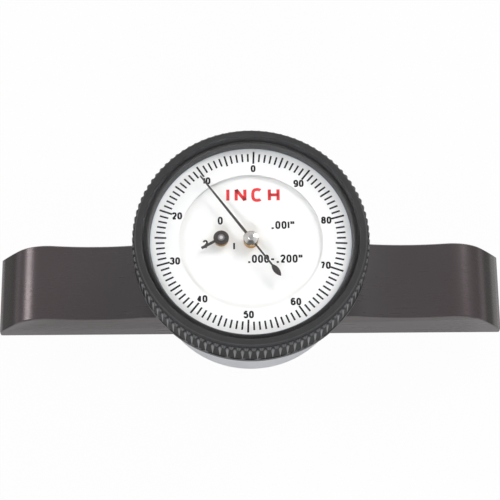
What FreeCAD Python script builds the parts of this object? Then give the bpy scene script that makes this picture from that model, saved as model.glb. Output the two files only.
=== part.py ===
import FreeCAD, Part
import math
import os

# Dial depth gauge: a dial indicator with its plunger out of the back, on a narrow base bar.
# Millimetres. +Z up, the dial faces +Z, the base bar runs along X.
# The origin is on the plunger's axis, on the base's measuring face.

# Base bar
base_length = 101.6
base_width = 15.875
base_seat_height = 9.9
base_dip_height = 8.87
base_dip_from_middle = 31.5
base_hump_height = 9.65
base_hump_from_middle = 41.0
base_hump_radius = 8.0
base_end_slope = 50.0
base_end_height = 1.9
base_edge_break = 0.25

# Case
case_radius = 18.8
case_wall = 1.4
case_floor = 1.4
case_foot_bevel = 0.3
rim_overhang = 2.5
rim_depth = 3.3

# Dial
dial_above_plate = 3.04
dial_above_rim = 1.14
ring_inner_radius = 13.75
ring_thickness = 0.4
recess_depth = 0.56
disc_to_case = 0.4
disc_thickness = 0.4

# Bezel: walls and steps outward from the rim, and heights above the graduated ring's face
bezel_wall = 0.76
shoulder_taper = 0.13
top_width = 1.29
crystal_groove_lean = 0.1
crystal_seat_width = 1.08
window_lean = 0.32
ring_pocket_step = 0.48
lip_land = 0.22
lip_rise = 1.55
crystal_groove_rise = 0.6
top_rise = 2.5
knurl_ridges = 99
knurl_height = 0.48
knurl_root_step = 0.04
knurl_set_in = 0.12
knurl_ridge_top = 0.3
knurl_bevel = 0.22
knurl_bevel_height = 0.35
knurl_top_rise = 1.6
knurl_bottom_drop = 3.95
skirt_step = 0.56
skirt_drop = 4.8
bezel_edge_break = 0.12
shoulder_bow = 0.03

# Crystal
crystal_thickness = 0.9
crystal_underside_rise = 2.15
crystal_edge_bevel = 0.35
crystal_fit = 0.03

# Plunger and its guides
plunger_radius = 2.0
plunger_neck_radius = 0.8
plunger_travel = 5.35
plunger_shoulder_height = 2.9
contact_seat_drop = 1.0
contact_stud_radius = 0.8
contact_stud_length = 2.5
contact_barrel_length = 1.6
contact_barrel_radius = 1.85
contact_tip_radius = 0.9
bush_radius = 3.0
bush_recess = 0.4
bush_cap = 1.0
spring_wire = 0.26
spring_coil_radius = 1.5
spring_turns = 6
spring_steps_per_turn = 12

# Crosshead, rack and guide post
crosshead_thickness = 1.2
crosshead_wall = 0.3
rack_pitch = 0.635
rack_pinion_teeth = 12
rack_width = 2.2
rack_near_y = 1.4
rack_back_thickness = 1.5
rack_teeth_above = 1
rack_teeth_below = 9
guide_post_x = -4.6
guide_post_y = 1.8
guide_post_radius = 0.6
guide_post_height = 7.4
guide_arm_radius = 1.4

# Gear train
cross_shaft_height = 19.4
cross_shaft_radius = 0.6
pivot_radius = 0.4
pressure_angle = 20.0
tooth_share = 0.42
counter_axis_distance = 5.673
counter_axis_angle = 176.2
centre_leaves = 12
contrate_teeth = 36
counter_teeth = 36
tooth_addendum = 0.7
tooth_dedendum = 1.05
contrate_tooth_inside = 0.3
contrate_tooth_outside = 0.25
contrate_disc = 0.7
wheel_thickness = 0.6
counter_wheel_above_contrate = 1.0
leaves_above_cock = 0.5
leaves_above_counter_wheel = 0.5
centre_arbor_radius = 0.55
counter_arbor_radius = 0.45
counter_arbor_head_radius = 0.9
counter_arbor_head = 0.2
counter_rivet_radius = 0.65
counter_rivet = 0.12
centre_collar_radius = 0.75
hand_pin_radius = 0.2
contrate_hub_radius = 1.2
counter_hub_outer_radius = 1.1
counter_hub_height = 1.0
wheel_web = 0.4
wheel_holes = 4
tooth_set_in = 0.1

# Cheeks, cock, pillars and upper plate
cheek_width = 5.0
rear_cheek_near = 4.2
rear_cheek_thickness = 2.0
front_cheek_near = 3.5
front_cheek_thickness = 1.8
cheek_foot_length = 2.8
cheek_foot_thickness = 1.2
cheek_above_shaft = 1.7
cheek_screw_from_middle = 1.25
cock_thickness = 1.0
cock_reach = 0.95
cock_screw_from_middle = 1.4
cock_screw_head_radius = 0.9
plate_above_hairspring = 0.36
plate_thickness = 1.0
plate_screw_grip = 2.0
plate_bush_wall = 0.8
plate_bush_flange = 0.5
pillar_radius = 1.5
pillar_to_case = 1.7
pillar_angles = (35.0, 145.0, 270.0)
dial_foot_radius = 0.7
dial_foot_collar = 1.1
dial_foot_set_in = 5.0
dial_foot_angles = (90.0, 215.0, 325.0)
dial_hole_margin = 0.5
ring_clip_thickness = 0.4
ring_clip_gap = 2.0

# Hands, heights above the graduated ring's face
main_hand_angle = 126.3
main_hand_rise = 0.9
hand_thickness = 0.2
main_hand_tip = 16.3
main_hand_root_width = 0.56
main_hand_tip_width = 0.3
tail_width = 0.34
leaf_start = 6.7
leaf_widest = 7.9
leaf_end = 9.5
leaf_width = 1.16
hand_boss_radius = 1.1
hub_radius = 1.41
hub_cap_radius = 1.45
hub_cap_thickness = 0.5
counter_hand_angle = 209.4
counter_hand_rise = 0.45
counter_hub_radius = 1.48
counter_hand_length = 4.3
counter_hand_width = 0.52

# Hairspring and bezel wire
hairspring_above_leaves = 0.22
hairspring_strip = 0.32
hairspring_gauge = 0.1
hairspring_inner = 1.15
hairspring_outer = 3.3
hairspring_turns = 4
hairspring_steps_per_turn = 14
bezel_wire_size = 0.6
bezel_wire_above_rim_bottom = 1.85
bezel_wire_gap = 14.0

# Screws
base_screw_from_middle = 13.0
base_screw_head_radius = 2.4
base_screw_head = 2.4
base_screw_radius = 1.25
base_screw_sink = 3.2
base_screw_grip = 1.5
base_boss_radius = 2.5
base_boss_height = 3.0
small_head_radius = 1.1
small_head = 0.7
small_screw_radius = 0.6

# Clearances
running = 0.03
bezel_running = 0.06
axial_play = 0.1
wire_play = 0.1
plate_gap = 0.1
hub_gap = 0.1

# Worked out from the sizes above
case_inner_radius = case_radius - case_wall
case_floor_top = base_seat_height + case_floor
bush_top = case_floor_top
disc_radius = case_inner_radius - disc_to_case
pillar_circle = case_inner_radius - pillar_to_case - pillar_radius
dial_foot_circle = disc_radius - dial_foot_set_in

rack_pitch_radius = rack_pitch * rack_pinion_teeth / (2 * math.pi)
rack_module = rack_pitch / math.pi
train_module = 2 * counter_axis_distance / (centre_leaves + counter_teeth)
centre_pitch_radius = centre_leaves * train_module / 2
contrate_pitch_radius = contrate_teeth * train_module / 2
contrate_outer_radius = contrate_pitch_radius + contrate_tooth_outside

# Heights, each on top of the piece below it
cheek_height = cross_shaft_height + cheek_above_shaft
cock_top = cheek_height + cock_thickness
centre_leaves_bottom = cock_top + leaves_above_cock
counter_wheel_height = cross_shaft_height + contrate_outer_radius + counter_wheel_above_contrate
counter_wheel_top = counter_wheel_height + wheel_thickness
centre_leaves_top = counter_wheel_top + leaves_above_counter_wheel
hairspring_height = centre_leaves_top + hairspring_above_leaves
hairspring_top = hairspring_height + hairspring_strip
plate_bottom = hairspring_top + plate_above_hairspring
plate_top = plate_bottom + plate_thickness
dial_height = plate_top + dial_above_plate
disc_top = dial_height - recess_depth
disc_bottom = disc_top - disc_thickness
ring_bottom = dial_height - ring_thickness
rim_top = dial_height - dial_above_rim
rim_bottom = rim_top - rim_depth
bezel_wire_height = rim_bottom + bezel_wire_above_rim_bottom

# Radii of the bezel and of what it carries
rim_radius = case_radius + rim_overhang
bezel_bore = rim_radius + bezel_running
shoulder_radius = bezel_bore + bezel_wall
top_outer_radius = shoulder_radius - shoulder_taper
top_inner_radius = top_outer_radius - top_width
crystal_groove_radius = top_inner_radius - crystal_groove_lean
lip_radius = crystal_groove_radius - crystal_seat_width
bezel_window_radius = lip_radius - window_lean
ring_pocket_radius = bezel_bore - ring_pocket_step
ring_outer_radius = ring_pocket_radius - running
knurl_tip_radius = shoulder_radius + knurl_height
knurl_root_radius = shoulder_radius + knurl_root_step
knurl_core_radius = shoulder_radius - knurl_set_in
skirt_radius = shoulder_radius + skirt_step

crosshead_top = case_floor_top + crosshead_thickness
counter_x = counter_axis_distance * math.cos(math.radians(counter_axis_angle))
counter_y = counter_axis_distance * math.sin(math.radians(counter_axis_angle))
slope = math.tan(math.radians(pressure_angle))

origin = FreeCAD.Vector(0, 0, 0)
up = FreeCAD.Vector(0, 0, 1)
along_y = FreeCAD.Vector(0, 1, 0)


def at(x, y, z):
    return FreeCAD.Vector(x, y, z)


def rod(radius, bottom, top, x=0, y=0):
    return Part.makeCylinder(radius, top - bottom, at(x, y, bottom))


def block(x0, x1, y0, y1, z0, z1):
    return Part.makeBox(x1 - x0, y1 - y0, z1 - z0, at(x0, y0, z0))


def xz_face(path, y=0):
    """Close a path in the XZ plane. A step is a point, or (middle, end) for an arc."""
    edges = []
    here = path[0]
    for step in path[1:] + [path[0]]:
        is_arc = isinstance(step[0], tuple)
        end = step[1] if is_arc else step
        if is_arc:
            middle = step[0]
            arc = Part.Arc(at(here[0], y, here[1]), at(middle[0], y, middle[1]), at(end[0], y, end[1]))
            edges.append(arc.toShape())
        elif end != here:
            edges.append(Part.makeLine(at(here[0], y, here[1]), at(end[0], y, end[1])))
        here = end
    return Part.Face(Part.Wire(edges))


def turned(path):
    """Turn an outline of (radius, height) points about the plunger's axis."""
    return xz_face(path).revolve(origin, up, 360)


def prism(points, bottom, top):
    """Extrude a closed polygon of (x, y) points."""
    return polygon_face([at(x, y, bottom) for x, y in points]).extrude(up * (top - bottom))


def polygon_face(corners):
    return Part.Face(Part.makePolygon(corners + corners[:1]))


def polar(radius, degrees):
    return (radius * math.cos(math.radians(degrees)), radius * math.sin(math.radians(degrees)))


def around(angles, circle, make):
    """One compound of like solids, each made at a point of a circle."""
    return Part.makeCompound([make(*polar(circle, angle)) for angle in angles])


def involute(angle):
    return math.tan(angle) - angle


def gear_points(teeth, module, tooth_angle):
    """Involute gear outline with a tooth centred on tooth_angle, as (x, y) points."""
    pitch = teeth * module / 2
    base = pitch * math.cos(math.radians(pressure_angle))
    root = pitch - tooth_dedendum * module
    radii = [root, pitch, pitch + tooth_addendum * module]
    if base > root:
        radii.insert(1, base)

    def half_angle(radius):
        at_pitch = tooth_share * math.pi / teeth + involute(math.radians(pressure_angle))
        return math.degrees(at_pitch - involute(math.acos(min(1.0, base / radius))))

    points = []
    for tooth in range(teeth):
        middle = tooth_angle + tooth * 360 / teeth
        points += [polar(radius, middle - half_angle(radius)) for radius in radii]
        points += [polar(radius, middle + half_angle(radius)) for radius in reversed(radii)]
    return points


def turn_to_y(shape, height):
    """Lay a shape made about the Z axis along +Y, on the cross shaft's axis."""
    laid = shape.copy()
    laid.rotate(origin, at(1, 0, 0), -90)
    laid.translate(at(0, 0, height))
    return laid


def small_screw(seat, end, x, y, head_radius=small_head_radius):
    """Cheese-head screw pointing down, with its head on the seat."""
    head = rod(head_radius, seat, seat + small_head, x, y)
    return head.fuse(rod(small_screw_radius, end, seat, x, y))


def holes_between(hub, rim, bottom, top, first_angle):
    """Round lightening holes in a wheel, each a web clear of the hub and of the rim."""
    radius = (rim - hub) / 2 - wheel_web
    angles = [first_angle + number * 360 / wheel_holes for number in range(wheel_holes)]
    return [rod(radius, bottom, top, *polar((rim + hub) / 2, angle)) for angle in angles]


# The base is milled to a shallow dip each side of the case, then a hump that falls to a thin end.
def base_bar():
    half = base_length / 2
    hump_centre = base_hump_height - base_hump_radius
    # The dip's arc is tangent to the hump's arc, which fixes its radius.
    span = base_hump_from_middle - base_dip_from_middle
    drop = base_dip_height - hump_centre
    dip_radius = (span ** 2 + drop ** 2 - base_hump_radius ** 2) / (2 * (base_hump_radius - drop))
    dip_centre = base_dip_height + dip_radius
    lean = math.atan2(span, dip_centre - hump_centre)
    join = (base_hump_from_middle - base_hump_radius * math.sin(lean),
            hump_centre + base_hump_radius * math.cos(lean))
    seat_half = base_dip_from_middle - math.sqrt(dip_radius ** 2 - (dip_centre - base_seat_height) ** 2)
    slope_end = math.radians(base_end_slope)
    fall = (base_hump_from_middle + base_hump_radius * math.sin(slope_end),
            hump_centre + base_hump_radius * math.cos(slope_end))
    # The last arc leaves the hump tangentially and ends at the bar's end.
    chord = at(half - fall[0], 0, base_end_height - fall[1])
    bow = math.atan2(-chord.z, chord.x) - slope_end
    rise = chord.Length / 2 * math.tan(bow / 2)
    end_middle = ((fall[0] + half) / 2 - chord.z / chord.Length * rise,
                  (fall[1] + base_end_height) / 2 + chord.x / chord.Length * rise)
    right = [(seat_half, base_seat_height), ((base_dip_from_middle, base_dip_height), join),
             ((base_hump_from_middle, base_hump_height), fall), (end_middle, (half, base_end_height)),
             (half, 0.0)]
    left = [(-half, 0.0), (-half, base_end_height),
            ((-end_middle[0], end_middle[1]), (-fall[0], fall[1])),
            ((-base_hump_from_middle, base_hump_height), (-join[0], join[1])),
            ((-base_dip_from_middle, base_dip_height), (-seat_half, base_seat_height))]
    face = xz_face(right + left, -base_width / 2)
    bar = face.extrude(along_y * base_width)
    long_edges = [edge for edge in bar.Edges
                  if math.isclose(abs(edge.BoundBox.Center.y), base_width / 2)]
    bar = bar.makeChamfer(base_edge_break, long_edges)
    bar = bar.cut(rod(bush_radius, 0, base_seat_height))
    for x in (-base_screw_from_middle, base_screw_from_middle):
        bar = bar.cut(rod(base_screw_head_radius + plate_gap, 0, base_screw_sink, x))
        bar = bar.cut(rod(base_screw_radius + plate_gap, 0, base_seat_height, x))
    return bar


# The two screws come up from recesses in the measuring face into bosses in the case.
def base_screws():
    screws = []
    for x in (-base_screw_from_middle, base_screw_from_middle):
        head_bottom = base_screw_sink - base_screw_head
        head = rod(base_screw_head_radius, head_bottom, base_screw_sink, x)
        screws.append(head.fuse(rod(base_screw_radius, base_screw_sink, case_floor_top + base_screw_grip, x)))
    return Part.makeCompound(screws)


# The case is a turned cup whose wide rim carries the bezel.
def case_body():
    groove_half = bezel_wire_size / 2 + wire_play / 2
    groove_floor = rim_radius - bezel_wire_size / 2 - wire_play
    cup = turned([
        (bush_radius, base_seat_height),
        (case_radius - case_foot_bevel, base_seat_height),
        (case_radius, base_seat_height + case_foot_bevel),
        (case_radius, rim_bottom), (rim_radius, rim_bottom),
        (rim_radius, bezel_wire_height - groove_half), (groove_floor, bezel_wire_height - groove_half),
        (groove_floor, bezel_wire_height + groove_half), (rim_radius, bezel_wire_height + groove_half),
        (rim_radius, rim_top), (case_inner_radius, rim_top),
        (case_inner_radius, case_floor_top), (bush_radius, case_floor_top)])
    for x in (-base_screw_from_middle, base_screw_from_middle):
        cup = cup.fuse(rod(base_boss_radius, case_floor_top, case_floor_top + base_boss_height, x))
        cup = cup.cut(rod(base_screw_radius, base_seat_height, case_floor_top + base_screw_grip, x))
    for x, y in cheek_screw_places():
        cup = cup.cut(rod(small_screw_radius, base_seat_height, case_floor_top, x, y))
    return cup.removeSplitter()


# The bush guides the plunger low down and its neck at the top, and houses the return spring.
def stem_bush():
    bore = plunger_radius + running
    neck = plunger_neck_radius + running
    spring_seat = bush_top - bush_cap
    return turned([(bore, bush_recess), (bush_radius, bush_recess), (bush_radius, bush_top),
                   (neck, bush_top), (neck, spring_seat), (bore, spring_seat)])


def plunger():
    bottom = -contact_seat_drop
    stud_top = bottom + contact_stud_length
    return turned([(0.0, stud_top), (contact_stud_radius, stud_top), (contact_stud_radius, bottom),
                   (plunger_radius, bottom), (plunger_radius, plunger_shoulder_height),
                   (plunger_neck_radius, plunger_shoulder_height), (plunger_neck_radius, crosshead_top),
                   (0.0, crosshead_top)])


# Screwed-in contact: a short barrel, a cone and a ball tip.
def contact_point():
    top = -contact_seat_drop
    barrel_bottom = top - contact_barrel_length
    tip = -plunger_travel
    ball_centre = tip + contact_tip_radius
    lean = math.atan2(contact_barrel_radius - contact_tip_radius, barrel_bottom - ball_centre)
    touch = (contact_tip_radius * math.cos(lean), ball_centre - contact_tip_radius * math.sin(lean))
    middle = math.radians(45) - lean / 2
    arc_middle = (contact_tip_radius * math.sin(middle), ball_centre - contact_tip_radius * math.cos(middle))
    stud_top = top + contact_stud_length
    return turned([(0.0, tip), (arc_middle, touch), (contact_barrel_radius, barrel_bottom),
                   (contact_barrel_radius, top), (contact_stud_radius, top),
                   (contact_stud_radius, stud_top), (0.0, stud_top)])


# The return spring sits between the plunger's shoulder and the bush's cap. It is wound from square wire.
def plunger_spring():
    half = spring_wire / 2
    bottom = plunger_shoulder_height + half
    height = bush_top - bush_cap - half - bottom
    steps = spring_turns * spring_steps_per_turn
    rings = []
    for step in range(steps + 1):
        z = bottom + height * step / steps
        inner = polar(spring_coil_radius - half, 360 * step / spring_steps_per_turn)
        outer = polar(spring_coil_radius + half, 360 * step / spring_steps_per_turn)
        rings.append([at(*inner, z - half), at(*outer, z - half), at(*outer, z + half), at(*inner, z + half)])
    faces = [polygon_face(rings[0]), polygon_face(rings[-1])]
    for here, there in zip(rings, rings[1:]):
        for corner in range(4):
            side = (corner + 1) % 4
            faces.append(polygon_face([here[corner], here[side], there[side]]))
            faces.append(polygon_face([here[corner], there[side], there[corner]]))
    return Part.Solid(Part.Shell(faces))


# The crosshead is fixed on the plunger's neck. One arm carries the rack, the other slides on a post.
def crosshead():
    far_x = rack_pitch_radius + rack_back_thickness + tooth_dedendum * rack_module
    far_y = rack_near_y + rack_width
    near_y = -plunger_neck_radius - crosshead_wall
    plan = [(far_x, far_y), (rack_pitch_radius - crosshead_thickness, far_y),
            (-plunger_neck_radius, guide_post_y + plunger_neck_radius),
            (guide_post_x, guide_post_y + guide_arm_radius), (guide_post_x, guide_post_y - guide_arm_radius),
            (-2 * plunger_neck_radius, near_y), (far_x, near_y)]
    head = prism(plan, case_floor_top, crosshead_top)
    head = head.fuse(rod(guide_arm_radius, case_floor_top, crosshead_top, guide_post_x, guide_post_y))
    head = head.cut(rod(plunger_neck_radius, case_floor_top, crosshead_top))
    post_hole = guide_post_radius + 2 * running
    head = head.cut(rod(post_hole, case_floor_top, crosshead_top, guide_post_x, guide_post_y))
    return head.removeSplitter()


def guide_post():
    top = case_floor_top + guide_post_height
    return rod(guide_post_radius, case_floor_top, top, guide_post_x, guide_post_y)


# The rack's teeth face the cross shaft, with a tooth at the shaft's height when at rest.
def rack_bar():
    tips = rack_pitch_radius - tooth_addendum * rack_module
    roots = rack_pitch_radius + tooth_dedendum * rack_module
    back = roots + rack_back_thickness
    half_pitch_tooth = tooth_share * rack_pitch / 2
    half_tip = half_pitch_tooth - tooth_addendum * rack_module * slope
    half_root = half_pitch_tooth + tooth_dedendum * rack_module * slope
    top = cross_shaft_height + (rack_teeth_above + 0.5) * rack_pitch
    path = [(back, crosshead_top), (back, top), (roots, top)]
    for tooth in range(rack_teeth_above, -rack_teeth_below - 1, -1):
        z = cross_shaft_height + tooth * rack_pitch
        path += [(roots, z + half_root), (tips, z + half_tip), (tips, z - half_tip), (roots, z - half_root)]
    path.append((roots, crosshead_top))
    return xz_face(path, rack_near_y).extrude(along_y * rack_width)


# The cross shaft lies along Y, turned in one piece with its rack pinion.
def cross_shaft():
    shoulder_front = -front_cheek_near + axial_play
    shoulder_rear = rear_cheek_near - axial_play
    shaft = rod(cross_shaft_radius, shoulder_front, shoulder_rear)
    shaft = shaft.fuse(rod(pivot_radius, -front_cheek_near - front_cheek_thickness,
                           rear_cheek_near + rear_cheek_thickness))
    # Laid along Y, the outline's +X stays +X, so a space faces the rack there.
    space_at_rack = 180.0 / rack_pinion_teeth
    leaves = prism(gear_points(rack_pinion_teeth, rack_module, space_at_rack),
                   rack_near_y, rack_near_y + rack_width)
    return turn_to_y(shaft.fuse(leaves).removeSplitter(), cross_shaft_height)


# The contrate wheel's teeth stand on its face and turn the centre pinion through a right angle.
def contrate_wheel():
    tips = -centre_pitch_radius + tooth_addendum * train_module
    roots = -centre_pitch_radius - tooth_dedendum * train_module
    disc_back = roots - contrate_disc
    outer = contrate_outer_radius
    half_pitch_tooth = tooth_share * math.pi * train_module / 2
    half_tip = half_pitch_tooth - tooth_addendum * train_module * slope
    half_root = half_pitch_tooth + tooth_dedendum * train_module * slope
    wheel = rod(outer, disc_back, roots)
    wheel = wheel.fuse(rod(contrate_hub_radius, -front_cheek_near + 2 * axial_play, roots + axial_play))
    wheel = wheel.cut(rod(cross_shaft_radius, -front_cheek_near, tips))
    inner = contrate_pitch_radius - contrate_tooth_inside
    wheel = wheel.cut(holes_between(contrate_hub_radius, inner, disc_back, roots, 180.0 / wheel_holes))
    wheel = turn_to_y(wheel, cross_shaft_height)
    teeth = []
    set_in = roots - tooth_set_in
    section = [(-half_root, set_in), (half_root, set_in), (half_root, roots),
               (half_tip, tips), (-half_tip, tips), (-half_root, roots)]
    axis_point = at(0, 0, cross_shaft_height)
    for number in range(contrate_teeth):
        tooth = prism(section, cross_shaft_height + inner, cross_shaft_height + outer - tooth_set_in)
        tooth.rotate(axis_point, along_y, number * 360 / contrate_teeth)
        teeth.append(tooth)
    return wheel.multiFuse(teeth).removeSplitter()


# The centre arbor carries the main hand. A space between leaves faces -Y, where the contrate teeth are.
def centre_arbor():
    space_angle = -90.0
    leaves = prism(gear_points(centre_leaves, train_module, space_angle + 180.0 / centre_leaves),
                   centre_leaves_bottom, centre_leaves_top)
    collar_bottom = cock_top + 2 * axial_play
    cap_top = dial_height + main_hand_rise + hand_thickness + hub_cap_thickness
    arbor = leaves.fuse(rod(pivot_radius, cheek_height, centre_leaves_bottom))
    arbor = arbor.fuse(rod(centre_collar_radius, collar_bottom, centre_leaves_bottom))
    arbor = arbor.fuse(rod(centre_arbor_radius, centre_leaves_top, cap_top - hub_gap))
    return arbor.fuse(rod(hand_pin_radius, centre_leaves_top, cap_top + hub_gap)).removeSplitter()


def counter_wheel():
    space_angle = -90.0
    line = counter_axis_angle
    nearest = space_angle + round((line - space_angle) * centre_leaves / 360) * 360 / centre_leaves
    tooth_angle = line + 180 - (nearest - line) * centre_leaves / counter_teeth
    teeth = gear_points(counter_teeth, train_module, tooth_angle)
    wheel = prism(teeth, counter_wheel_height, counter_wheel_top)
    hub_top = counter_wheel_height + counter_hub_height
    wheel = wheel.fuse(rod(counter_hub_outer_radius, counter_wheel_height, hub_top))
    wheel = wheel.cut(rod(counter_arbor_radius, counter_wheel_height, hub_top))
    roots = (counter_teeth / 2 - tooth_dedendum) * train_module
    first_hole = tooth_angle + 180.0 / wheel_holes
    wheel = wheel.cut(holes_between(counter_hub_outer_radius, roots, counter_wheel_height,
                                    counter_wheel_top, first_hole))
    wheel.translate(at(counter_x, counter_y, 0))
    return wheel.removeSplitter()


def counter_arbor():
    hand_top = dial_height + counter_hand_rise + hand_thickness
    arbor = rod(counter_arbor_radius, counter_wheel_height, hand_top, counter_x, counter_y)
    head = rod(counter_arbor_head_radius, counter_wheel_height - counter_arbor_head, counter_wheel_height,
               counter_x, counter_y)
    rivet = rod(counter_rivet_radius, hand_top, hand_top + counter_rivet, counter_x, counter_y)
    return arbor.multiFuse([head, rivet]).removeSplitter()


def cheek_screw_places():
    rear = rear_cheek_near + rear_cheek_thickness + cheek_foot_length / 2
    front = -front_cheek_near - front_cheek_thickness - cheek_foot_length / 2
    side = cheek_screw_from_middle
    return [(-side, rear), (side, rear), (-side, front), (side, front)]


# Each cheek is a foot and an upright, with the hole that the cross shaft's pivot runs in.
def cheek(near, thickness, side):
    half = cheek_width / 2
    ys = sorted((side * near, side * (near + thickness)))
    foot = sorted((side * (near + thickness), side * (near + thickness + cheek_foot_length)))
    upright = block(-half, half, ys[0], ys[1], case_floor_top, cheek_height)
    plate = block(-half, half, foot[0], foot[1], case_floor_top, case_floor_top + cheek_foot_thickness)
    shape = upright.fuse(plate)
    bore = Part.makeCylinder(pivot_radius + running, thickness, at(0, ys[0], cross_shaft_height), along_y)
    shape = shape.cut(bore)
    for x, y in cheek_screw_places():
        if y * side > 0:
            shape = shape.cut(rod(small_screw_radius, case_floor_top, cheek_height, x, y))
    return shape.removeSplitter()


def cheek_screws():
    seat = case_floor_top + cheek_foot_thickness
    return Part.makeCompound([small_screw(seat, base_seat_height + plate_gap, x, y)
                              for x, y in cheek_screw_places()])


# The cock reaches from the rear cheek to the centre arbor's lower pivot, past the rack.
def centre_cock():
    half = cheek_width / 2
    back = rear_cheek_near + rear_cheek_thickness
    top = cock_top
    plate = block(-half, half, rear_cheek_near, back, cheek_height, top)
    rack_side = rack_pitch_radius - tooth_addendum * rack_module - plate_gap
    tongue = block(-half, rack_side, 0, rear_cheek_near, cheek_height, top)
    nose = rod(cock_reach, cheek_height, top)
    plate = plate.fuse(tongue).fuse(nose)
    plate = plate.cut(rod(pivot_radius + running, cheek_height, top))
    for x, y in cock_screw_places():
        plate = plate.cut(rod(small_screw_radius, cheek_height, top, x, y))
    return plate.removeSplitter()


def cock_screw_places():
    y = rear_cheek_near + rear_cheek_thickness / 2
    return [(-cock_screw_from_middle, y), (cock_screw_from_middle, y)]


def cock_screws():
    return Part.makeCompound([small_screw(cock_top, cheek_height, x, y, cock_screw_head_radius)
                              for x, y in cock_screw_places()])


def pillars():
    def pillar(x, y):
        post = rod(pillar_radius, case_floor_top, plate_bottom, x, y)
        return post.cut(rod(small_screw_radius, plate_bottom - plate_screw_grip, plate_bottom, x, y))
    return around(pillar_angles, pillar_circle, pillar)


def plate_screws():
    def screw(x, y):
        return small_screw(plate_top, plate_bottom - plate_screw_grip, x, y)
    return around(pillar_angles, pillar_circle, screw)


def upper_plate():
    plate = rod(case_inner_radius - plate_gap, plate_bottom, plate_top)
    holes = [rod(centre_arbor_radius + plate_bush_wall, plate_bottom, plate_top),
             rod(counter_arbor_radius + plate_bush_wall, plate_bottom, plate_top, counter_x, counter_y)]
    holes += [rod(small_screw_radius, plate_bottom, plate_top, *polar(pillar_circle, angle))
              for angle in pillar_angles]
    holes += [rod(dial_foot_radius, plate_bottom, plate_top, *polar(dial_foot_circle, angle))
              for angle in dial_foot_angles]
    return plate.cut(holes)


# The flanged bushes are pressed into the plate from above.
def plate_bush(arbor_radius, x, y):
    body = arbor_radius + plate_bush_wall
    top = plate_top + plate_bush_flange
    bush = rod(body, plate_bottom, top, x, y)
    bush = bush.fuse(rod(body + plate_bush_flange, plate_top, top, x, y))
    return bush.cut(rod(arbor_radius + running, plate_bottom, top, x, y)).removeSplitter()


# The fixed middle of the dial stands on three feet in the upper plate.
def centre_dial():
    disc = rod(disc_radius, disc_bottom, disc_top)
    for angle in dial_foot_angles:
        x, y = polar(dial_foot_circle, angle)
        disc = disc.fuse(rod(dial_foot_collar, plate_top, disc_bottom, x, y))
        disc = disc.fuse(rod(dial_foot_radius, plate_bottom, plate_top, x, y))
    disc = disc.cut(rod(centre_arbor_radius + dial_hole_margin, disc_bottom, disc_top))
    counter_hole = counter_arbor_radius + dial_hole_margin
    disc = disc.cut(rod(counter_hole, disc_bottom, disc_top, counter_x, counter_y))
    return disc.removeSplitter()


def graduated_ring():
    ring = rod(ring_outer_radius, ring_bottom, dial_height)
    return ring.cut(rod(ring_inner_radius, ring_bottom, dial_height))


# A split spring ring holds the graduated ring up against the bezel's window.
def ring_clip():
    bottom = ring_bottom - ring_clip_thickness
    band = rod(ring_outer_radius, bottom, ring_bottom).cut(rod(bezel_window_radius, bottom, ring_bottom))
    gap = block(0, ring_outer_radius, -ring_clip_gap / 2, ring_clip_gap / 2, bottom, ring_bottom)
    return band.cut(gap)


# Straight knurl. Every groove is deepest at its top and runs out at its foot, so that the ridges
# between them are narrow and bevelled above and fill the whole pitch below.
def knurl_band(bottom, top):
    pitch = 360 / knurl_ridges
    half_top = math.degrees(knurl_ridge_top / 2 / knurl_tip_radius)
    fall = knurl_bevel_height / (top - bottom)

    def row(z, root, tip, half):
        """For each ridge, at one height: the groove's floor before it and its own two edges."""
        corners = []
        for ridge in range(knurl_ridges):
            middle = (ridge + 0.5) * pitch
            corners.append((at(*polar(root, middle - pitch / 2), z), at(*polar(tip, middle - half), z),
                            at(*polar(tip, middle + half), z)))
        return corners

    high = row(top, knurl_root_radius, knurl_tip_radius - knurl_bevel, half_top)
    low = row(top - knurl_bevel_height,
              knurl_root_radius + (knurl_tip_radius - knurl_root_radius) * fall,
              knurl_tip_radius, half_top + (pitch / 2 - half_top) * fall)
    feet = [at(*polar(knurl_tip_radius, ridge * pitch), bottom) for ridge in range(knurl_ridges)]
    faces = [polygon_face([corner for ridge in high for corner in ridge]), polygon_face(feet)]
    for ridge in range(knurl_ridges):
        after = (ridge + 1) % knurl_ridges
        root, left, right = high[ridge]
        low_root, low_left, low_right = low[ridge]
        foot, next_foot = feet[ridge], feet[after]
        next_root, next_low_root = high[after][0], low[after][0]
        faces += [polygon_face(corners) for corners in (
            [left, right, low_right, low_left], [low_left, low_right, next_foot, foot],
            [root, left, low_left], [root, low_left, low_root], [low_root, low_left, foot],
            [right, next_root, low_right], [next_root, next_low_root, low_right],
            [low_right, next_low_root, next_foot])]
    band = Part.Solid(Part.Shell(faces))
    return band.cut(rod(knurl_core_radius, bottom, top))


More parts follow.
